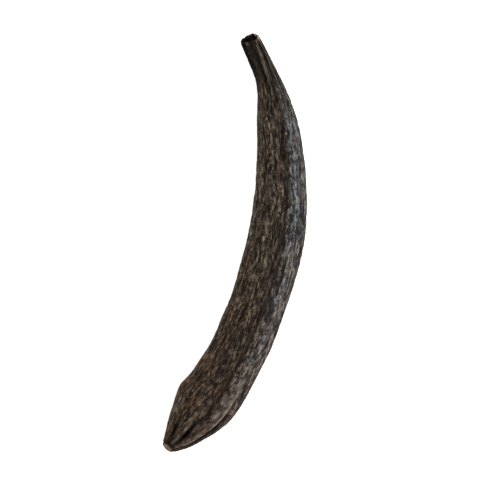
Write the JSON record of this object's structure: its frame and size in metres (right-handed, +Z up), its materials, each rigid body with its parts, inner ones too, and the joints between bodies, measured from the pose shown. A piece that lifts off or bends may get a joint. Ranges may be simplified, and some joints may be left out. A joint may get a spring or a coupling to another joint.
{
  "type": "dried seed pod",
  "caption": "Slender dried seed pod bent in a flat arc, with a broken stalk end, lengthwise ribs and a tip gathered in folds round a small scar; it lies on its side.",
  "frame": {"origin": "on the surface that the pod lies on, under the middle of its bounding box", "axes": "+Y runs along the straight line between the pod's ends, towards the stalk end; +X points to the outer side of the bend; +Z is up"},
  "size_m": [0.011, 0.0458, 0.0058],
  "materials": {
    "pod_skin": "dry wrinkled dark brown skin with a grey bloom, dull with a faint leathery sheen, tan where the stalk is broken and at the scar on the tip"
  },
  "bodies": {
    "root": {"pod": "pod_skin"}
  },
  "joints": []
}
